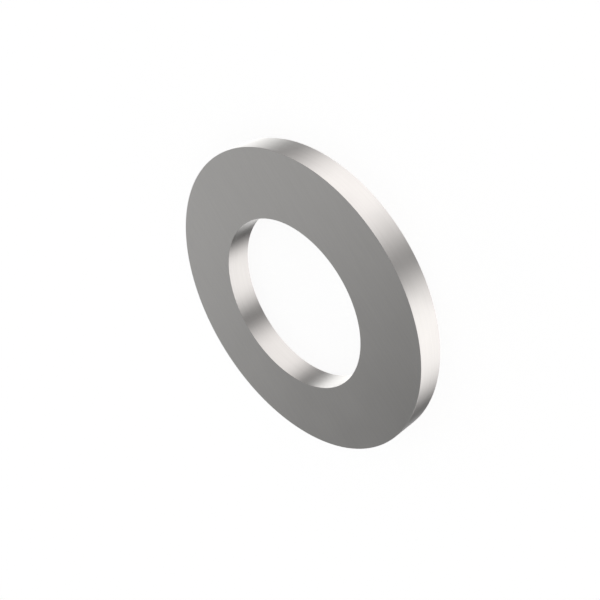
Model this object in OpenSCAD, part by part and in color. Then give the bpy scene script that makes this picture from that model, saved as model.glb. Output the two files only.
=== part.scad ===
// Plain flat washer: one metal ring with a round bolt hole and two flat bearing faces.
// It lies on its lower face. +Z runs up the axis of the bore, and the origin is the
// centre of the bore in the plane of the lower face. All sizes are in millimetres.

/* [Ring] */
// Diameter over the rim
rim_d = 60; // [44:0.5:90]
// Thickness between the two bearing faces
thickness = 5; // [2:0.1:10]

/* [Bore] */
// Diameter of the bolt hole
bore_d = 34; // [10:0.5:38]

/* [Edges] */
// Radius that breaks each of the sharp edges
edge_r = 0.05; // [0.02:0.01:0.5]

/* [Appearance] */
// Colour of the bare satin steel
steel_colour = "#bab8b4"; // ["#bab8b4", "#c8c6c2", "#8f8d89"]

/* [Hidden] */

rim_r = rim_d / 2;
bore_r = bore_d / 2;
ring_w = rim_r - bore_r;

// Facets of a full turn of the ring, and of a rounded edge
ring_fn = 240;
edge_fn = 32;

// Half of the ring's cross-section, to the right of the bore's axis, standing on the
// plane of the lower face. Its corners are round, and its four sides are the bore wall,
// the rim and the two bearing faces.
module ring_section() {
    translate([bore_r + edge_r, 0])
        square([ring_w - 2 * edge_r, thickness]);
    translate([bore_r, edge_r])
        square([ring_w, thickness - 2 * edge_r]);
    for (x = [bore_r + edge_r, rim_r - edge_r], y = [edge_r, thickness - edge_r])
        translate([x, y])
            circle(r = edge_r, $fn = edge_fn);
}

// The whole washer, turned about the axis of its bore
module washer() {
    color(steel_colour)
        rotate_extrude($fn = ring_fn)
            ring_section();
}

washer();
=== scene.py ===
# The looks of a plain flat washer: satin steel, lying on a pale floor under soft light.
import math

import bpy
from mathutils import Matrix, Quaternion, Vector


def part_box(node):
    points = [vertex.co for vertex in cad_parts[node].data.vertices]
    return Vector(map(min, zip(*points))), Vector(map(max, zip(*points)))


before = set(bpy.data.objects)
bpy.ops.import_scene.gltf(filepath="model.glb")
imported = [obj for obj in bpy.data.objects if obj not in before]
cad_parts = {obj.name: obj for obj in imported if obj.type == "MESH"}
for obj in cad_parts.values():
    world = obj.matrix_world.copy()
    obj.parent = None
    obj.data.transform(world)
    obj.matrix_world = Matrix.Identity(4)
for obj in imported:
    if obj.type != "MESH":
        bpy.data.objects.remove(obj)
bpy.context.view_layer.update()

# Sizes and places in metres, as the frame gives them. The washer's axis is Z.
MM = 0.001
washer_low, washer_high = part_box("washer")
RIM_R = (washer_high.x - washer_low.x) / 2
CENTRE = (washer_low + washer_high) / 2
AXIS = (0.0, 0.0, 1.0)

# Camera: it looks down on the lying washer, and its roll stands the ring up in the picture
LENS_MM = 50.0
SENSOR_MM = 36.0
VIEW_ELEVATION = math.radians(34.5)
VIEW_ROLL = math.radians(-121.0)
VIEW_DISTANCE = 5.107 * RIM_R
CAMERA_CLIP = (0.01, 100.0)

# Steel: base colour, with the share by which its brightness varies over the surface, and
# roughness, with the amount by which it varies
STEEL_COLOUR = (0.750, 0.737, 0.720)
COLOUR_VARIATION = 0.015
STEEL_ROUGHNESS = 0.31
ROUGHNESS_VARIATION = 0.025

# Marks of making, in millimetres: rolling lines on the faces, tool lines round the walls,
# a fine even grain on both, and broad patches where the finish is a little duller
ROLLING_LENGTH = 6.0
ROLLING_WIDTH = 0.30
TOOL_LENGTH = 9.0
TOOL_WIDTH = 0.35
LINE_HEIGHT = 0.0005
GRAIN_SIZE = 0.40
GRAIN_HEIGHT = 0.0004
PATCH_SIZE = 8.0

# Noise behind the marks: its finer layers, and the range that holds most of its values
LINE_DETAIL = 3.0
GRAIN_DETAIL = 2.0
PATCH_DETAIL = 3.0
NOISE_RANGE = (0.3, 0.7)

# The tool lines give way to the rolling lines as the upright part of the normal grows
FACE_UPRIGHT = (0.70, 0.95)

# Light from below the horizon: soft panels, each with its azimuth from +Y towards +X, half its
# width and the softness of its sides, all in degrees, and with its brightness and colour
LIGHT_PANELS = {
    "key": {
        "azimuth": 17,
        "half_width": 39,
        "soft": 21,
        "bright": 1.60,
        "colour": (1.0, 1.0, 0.995),
    },
    "fill": {
        "azimuth": 134,
        "half_width": 42,
        "soft": 24,
        "bright": 1.265,
        "colour": (1.0, 0.970, 0.962),
    },
    "back": {
        "azimuth": -109,
        "half_width": 41.5,
        "soft": 20.5,
        "bright": 1.285,
        "colour": (1.0, 0.976, 0.968),
    },
}

# Tone between the panels, and tone straight below them
ROOM_TONE = 0.065
BELOW_TONE = 0.62

# Light from above the horizon: a soft sky that is lighter in a few evenly spaced directions,
# the first of them at this azimuth in degrees
SKY_TONE = 0.315
SKY_SWING = 0.125
SKY_LIGHTS = 5
SKY_AZIMUTH = 15.7

# Heights, as the z of a direction, between which the sky takes the place of the panels, the
# panels get brighter downwards, and the tone straight below takes their place
PANEL_TOP = (0.05, 0.35)
PANEL_LIFT = (-0.50, -0.70)
PANEL_FOOT = (-0.65, -0.95)

# The panels' brightness above and below the heights where it changes
LIFT_BRIGHTNESS = (0.83, 1.17)

# Floor: it glows a little, as a light table does, so that the shadow stays faint. The backdrop
# has the tone of the open floor.
FLOOR_REACH = 10.0
FLOOR_COLOUR = 0.60
FLOOR_GLOW = 0.80
BACKDROP_TONE = 1.0


def grey(tone):
    """A grey of this tone, as red, green and blue."""
    return (tone, tone, tone)


def add_node(tree, kind, inputs=None, **settings):
    """A new node with its settings, and with its inputs set to values or linked to sockets."""
    node = tree.nodes.new(kind)
    for name, value in settings.items():
        setattr(node, name, value)
    for name, value in (inputs or {}).items():
        if isinstance(value, bpy.types.NodeSocket):
            tree.links.new(value, node.inputs[name])
        else:
            node.inputs[name].default_value = value
    return node


def add_math(tree, operation, first, second=0.0, third=0.0):
    """The result of a Math node on one, two or three numbers or sockets."""
    inputs = {0: first, 1: second, 2: third}
    return add_node(tree, "ShaderNodeMath", inputs, operation=operation).outputs[0]


def add_vector_math(tree, operation, first, second=(0.0, 0.0, 0.0)):
    """The vector result of a Vector Math node. SCALE takes a number second, the others a vector."""
    second_input = "Scale" if operation == "SCALE" else 1
    inputs = {0: first, second_input: second}
    return add_node(tree, "ShaderNodeVectorMath", inputs, operation=operation).outputs["Vector"]


def add_vector_mix(tree, share, first, second):
    """A vector that goes from the first to the second as the share goes from 0 to 1."""
    inputs = {"Factor": share, "A": first, "B": second}
    return add_node(tree, "ShaderNodeMix", inputs, data_type="VECTOR").outputs[1]


def add_ramp(tree, value, start, end, low=0.0, high=1.0):
    """A smooth change from low to high as the value goes from start to end."""
    inputs = {"Value": value, "From Min": start, "From Max": end, "To Min": low, "To Max": high}
    node = add_node(tree, "ShaderNodeMapRange", inputs, interpolation_type="SMOOTHSTEP")
    return node.outputs["Result"]


def add_noise(tree, vector, detail, scale=1.0):
    """Noise from 0 to 1 over a vector."""
    inputs = {"Vector": vector, "Scale": scale, "Detail": detail}
    return add_node(tree, "ShaderNodeTexNoise", inputs).outputs[0]


def add_lines(tree, place, spacing):
    """Noise that is drawn out along the axes where its spacing is long."""
    stretched = add_vector_math(tree, "DIVIDE", place, spacing)
    return add_noise(tree, stretched, LINE_DETAIL)


def empty_tree(owner):
    """The owner's node tree, emptied."""
    owner.use_nodes = True
    owner.node_tree.nodes.clear()
    return owner.node_tree


def turned_normal(tree, place, normal):
    """The exact normal of a ring turned about its axis: the mesh's own, less its part round the axis."""
    around = add_vector_math(tree, "CROSS_PRODUCT", AXIS, place)
    around = add_vector_math(tree, "NORMALIZE", around)
    slant = add_node(tree, "ShaderNodeVectorMath", {0: normal, 1: around}, operation="DOT_PRODUCT")
    part_around = add_vector_math(tree, "SCALE", around, slant.outputs["Value"])
    return add_vector_math(tree, "SUBTRACT", normal, part_around)


def making_lines(tree, place, normal):
    """Rolling lines on the bearing faces and tool lines round the walls."""
    rolling = add_lines(tree, place, (ROLLING_LENGTH, ROLLING_WIDTH, ROLLING_WIDTH))
    tool = add_lines(tree, place, (TOOL_LENGTH, TOOL_LENGTH, TOOL_WIDTH))
    upright = add_node(tree, "ShaderNodeSeparateXYZ", {0: normal}).outputs["Z"]
    on_face = add_ramp(tree, add_math(tree, "ABSOLUTE", upright), *FACE_UPRIGHT)
    lines = add_node(tree, "ShaderNodeMix", {"Factor": on_face, "A": tool, "B": rolling})
    return lines.outputs["Result"]


def steel_material():
    """Satin steel with the fine marks of its making."""
    material = bpy.data.materials.new("satin_steel")
    tree = empty_tree(material)
    place = add_node(tree, "ShaderNodeTexCoord").outputs["Object"]
    place = add_vector_math(tree, "SCALE", place, 1 / MM)
    mesh_normal = add_node(tree, "ShaderNodeNewGeometry").outputs["Normal"]
    normal = turned_normal(tree, place, mesh_normal)

    lines = making_lines(tree, place, normal)
    grain = add_noise(tree, place, GRAIN_DETAIL, 1 / GRAIN_SIZE)
    patches = add_noise(tree, place, PATCH_DETAIL, 1 / PATCH_SIZE)

    height = add_math(tree, "MULTIPLY", lines, LINE_HEIGHT)
    height = add_math(tree, "MULTIPLY_ADD", grain, GRAIN_HEIGHT, height)
    bump_inputs = {"Height": height, "Strength": 1.0, "Distance": MM, "Normal": normal}
    bump = add_node(tree, "ShaderNodeBump", bump_inputs)

    smoothest = STEEL_ROUGHNESS - ROUGHNESS_VARIATION
    dullest = STEEL_ROUGHNESS + ROUGHNESS_VARIATION
    roughness = add_ramp(tree, patches, *NOISE_RANGE, smoothest, dullest)
    brightness = add_ramp(tree, lines, *NOISE_RANGE, 1 - COLOUR_VARIATION, 1 + COLOUR_VARIATION)
    colour = add_vector_math(tree, "SCALE", STEEL_COLOUR, brightness)

    shader = add_node(tree, "ShaderNodeBsdfPrincipled", {
        "Base Color": colour,
        "Metallic": 1.0,
        "Roughness": roughness,
        "Normal": bump.outputs["Normal"],
    })
    add_node(tree, "ShaderNodeOutputMaterial", {"Surface": shader.outputs[0]})
    return material


def floor_material():
    """A plain pale floor that glows a little."""
    material = bpy.data.materials.new("pale_floor")
    tree = empty_tree(material)
    shader = add_node(tree, "ShaderNodeBsdfPrincipled", {
        "Base Color": (*grey(FLOOR_COLOUR), 1.0),
        "Roughness": 1.0,
        "Specular IOR Level": 0.0,
        "Emission Color": (*grey(1.0), 1.0),
        "Emission Strength": FLOOR_GLOW,
    })
    add_node(tree, "ShaderNodeOutputMaterial", {"Surface": shader.outputs[0]})
    return material


def add_floor():
    """A wide floor in the plane that the washer lies on. The steel doesn't mirror it."""
    corners = [
        (-FLOOR_REACH, -FLOOR_REACH, washer_low.z),
        (FLOOR_REACH, -FLOOR_REACH, washer_low.z),
        (FLOOR_REACH, FLOOR_REACH, washer_low.z),
        (-FLOOR_REACH, FLOOR_REACH, washer_low.z),
    ]
    mesh = bpy.data.meshes.new("floor")
    mesh.from_pydata(corners, [], [(0, 1, 2, 3)])
    mesh.materials.append(floor_material())
    floor = bpy.data.objects.new("floor", mesh)
    floor.visible_glossy = False
    bpy.context.scene.collection.objects.link(floor)


def panel_light(tree, azimuth, panel):
    """The light of one soft panel, as a colour by direction."""
    turn = add_math(tree, "SUBTRACT", azimuth, math.radians(panel["azimuth"]))
    turn = add_math(tree, "WRAP", turn, math.pi, -math.pi)
    away = add_math(tree, "ABSOLUTE", turn)
    inner = math.radians(panel["half_width"] - panel["soft"])
    outer = math.radians(panel["half_width"] + panel["soft"])
    shine = add_ramp(tree, away, inner, outer, panel["bright"], 0.0)
    return add_vector_math(tree, "SCALE", panel["colour"], shine)


def low_light(tree, azimuth, height):
    """Light from below the horizon: the panels, and an even tone straight below."""
    panels = grey(ROOM_TONE)
    for panel in LIGHT_PANELS.values():
        panels = add_vector_math(tree, "ADD", panel_light(tree, azimuth, panel), panels)
    lift = add_ramp(tree, height, *PANEL_LIFT, *LIFT_BRIGHTNESS)
    panels = add_vector_math(tree, "SCALE", panels, lift)
    fall = add_ramp(tree, height, *PANEL_FOOT)
    return add_vector_mix(tree, fall, panels, grey(BELOW_TONE))


def sky_light(tree, azimuth):
    """Light from above the horizon: a soft grey sky with a few lighter directions."""
    first_light = math.radians(SKY_AZIMUTH)
    wave = add_math(tree, "MULTIPLY_ADD", azimuth, SKY_LIGHTS, -SKY_LIGHTS * first_light)
    wave = add_math(tree, "COSINE", wave)
    tone = add_math(tree, "MULTIPLY_ADD", wave, SKY_SWING, SKY_TONE)
    return add_vector_math(tree, "SCALE", grey(1.0), tone)


def add_light():
    """Soft studio light all round, by direction, and a plain pale backdrop for the camera."""
    world = bpy.data.worlds.new("studio")
    bpy.context.scene.world = world
    tree = empty_tree(world)
    direction = add_node(tree, "ShaderNodeTexCoord").outputs["Generated"]
    parts = add_node(tree, "ShaderNodeSeparateXYZ", {0: direction}).outputs
    azimuth = add_math(tree, "ARCTAN2", parts["X"], parts["Y"])
    height = parts["Z"]

    low = low_light(tree, azimuth, height)
    sky = sky_light(tree, azimuth)
    rise = add_ramp(tree, height, *PANEL_TOP)
    light = add_node(tree, "ShaderNodeBackground", {"Color": add_vector_mix(tree, rise, low, sky)})

    backdrop = add_node(tree, "ShaderNodeBackground", {"Color": (*grey(BACKDROP_TONE), 1.0)})
    seen = add_node(tree, "ShaderNodeLightPath").outputs["Is Camera Ray"]
    shown_inputs = {0: seen, 1: light.outputs[0], 2: backdrop.outputs[0]}
    shown = add_node(tree, "ShaderNodeMixShader", shown_inputs)
    add_node(tree, "ShaderNodeOutputWorld", {"Surface": shown.outputs[0]})


def add_camera():
    """A camera at the photograph's angle to the washer, aimed at the washer's centre."""
    data = bpy.data.cameras.new("camera")
    data.lens = LENS_MM
    data.sensor_width = SENSOR_MM
    data.clip_start, data.clip_end = CAMERA_CLIP
    camera = bpy.data.objects.new("camera", data)
    towards_camera = Vector((0.0, -math.cos(VIEW_ELEVATION), math.sin(VIEW_ELEVATION)))
    level = (-towards_camera).to_track_quat("-Z", "Y")
    roll = Quaternion((0.0, 0.0, 1.0), VIEW_ROLL)
    camera.rotation_mode = "QUATERNION"
    camera.rotation_quaternion = level @ roll
    camera.location = CENTRE + towards_camera * VIEW_DISTANCE
    bpy.context.scene.collection.objects.link(camera)
    bpy.context.scene.camera = camera


def dress_washer():
    """The CAD ring keeps its shape and gets the steel."""
    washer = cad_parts["washer"]
    washer.data.materials.clear()
    washer.data.materials.append(steel_material())


bpy.context.scene.view_settings.view_transform = "Standard"
add_camera()
dress_washer()
add_floor()
add_light()
